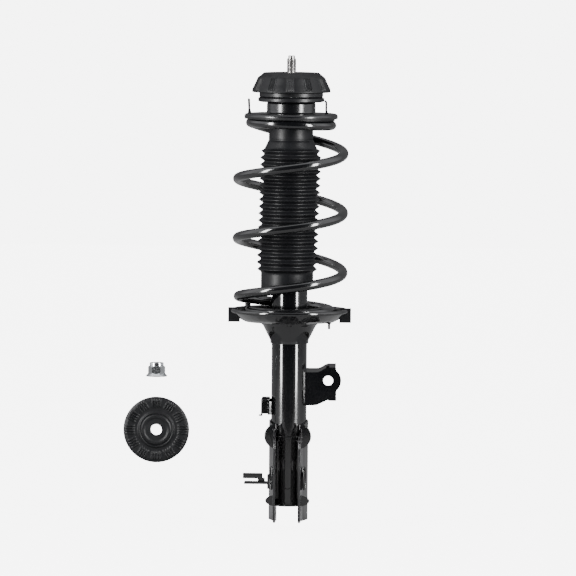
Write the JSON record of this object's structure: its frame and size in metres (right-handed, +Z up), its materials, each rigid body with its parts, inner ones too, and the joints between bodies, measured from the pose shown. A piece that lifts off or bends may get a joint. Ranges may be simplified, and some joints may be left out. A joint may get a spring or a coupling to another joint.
{
  "type": "suspension strut assembly",
  "caption": "Front suspension strut with coil spring, rubber top mount on a threaded stud, ribbed dust boot, spring seats, knuckle clevis and side brackets.",
  "frame": {"origin": "foot of the tower stud, on the upper face of the top mount and on the damper axis", "axes": "+Z up along the damper axis, -Y the side on which the knuckle clevis opens, +X towards the stabiliser link bracket"},
  "size_m": [0.2886, 0.151, 0.5901],
  "materials": {
    "black_paint": "gloss",
    "spring_coating": "gloss",
    "mount_rubber": "matte",
    "boot_rubber": "satin",
    "black_plastic": "satin",
    "pale_plastic": "satin",
    "blue_nylon": "satin",
    "hard_chrome": "polished",
    "zinc_plate": "bright",
    "plain_steel": "satin",
    "sintered_iron": "matte",
    "bronze_ptfe": "satin",
    "microcellular": "matte"
  },
  "bodies": {
    "top_mount": {"mount_rubber": "mount_rubber", "mount_core": "plain_steel", "bearing_cover": "black_plastic", "piston_rod": "hard_chrome", "bump_stop_cup": "black_plastic", "bump_stop": "microcellular", "rebound_bumper": "mount_rubber", "rebound_stop": "plain_steel", "valve_discs": "plain_steel", "piston": "sintered_iron", "piston_band": "bronze_ptfe", "piston_nut": "zinc_plate"},
    "spring_seat": {"bearing_housing": "black_plastic", "bearing_cage": "pale_plastic", "bearing_balls": "hard_chrome", "upper_spring_seat": "black_paint", "upper_spring_pad": "mount_rubber", "seat_tangs": "black_paint", "dust_boot": "boot_rubber"},
    "damper_tube": {"strut_tube": "black_paint", "base_cup": "black_paint", "pressure_cylinder": "plain_steel", "base_valve": "sintered_iron", "rod_guide": "sintered_iron", "guide_bush": "bronze_ptfe", "rod_seal": "boot_rubber", "strike_cap": "black_plastic", "lower_spring_seat": "black_paint", "lower_spring_pad": "mount_rubber", "coil_spring": "spring_coating", "knuckle_bracket": "black_paint", "bracket_reinforcement": "black_paint", "link_bracket": "black_paint", "hose_bracket": "black_paint", "sensor_bracket": "black_paint"},
    "rebound_cap": {"rebound_cap": "mount_rubber", "rebound_cap_plate": "mount_rubber"},
    "stud_nut": {"stud_nut": "zinc_plate", "nut_lock_ring": "blue_nylon"}
  },
  "joints": [
    {"name": "bearing_swivel", "type": "hinge", "parent": "top_mount", "child": "spring_seat", "pos_m": [0, 0, -0.0305], "axis": [0, 0, 1], "continuous": true},
    {"name": "damper_stroke", "type": "slide", "parent": "spring_seat", "child": "damper_tube", "axis": [0, 0, 1], "range_m": [0, 0.11], "stiffness_N_per_m": 20000, "springref_m": -0.03, "deforming": ["coil_spring", "dust_boot"]},
    {"name": "cap_lift", "type": "slide", "parent": "top_mount", "child": "rebound_cap", "axis": [0, -1, 0], "range_m": [0, 0.1]},
    {"name": "nut_lift", "type": "slide", "parent": "top_mount", "child": "stud_nut", "axis": [0, -1, 0], "range_m": [0, 0.1]}
  ]
}
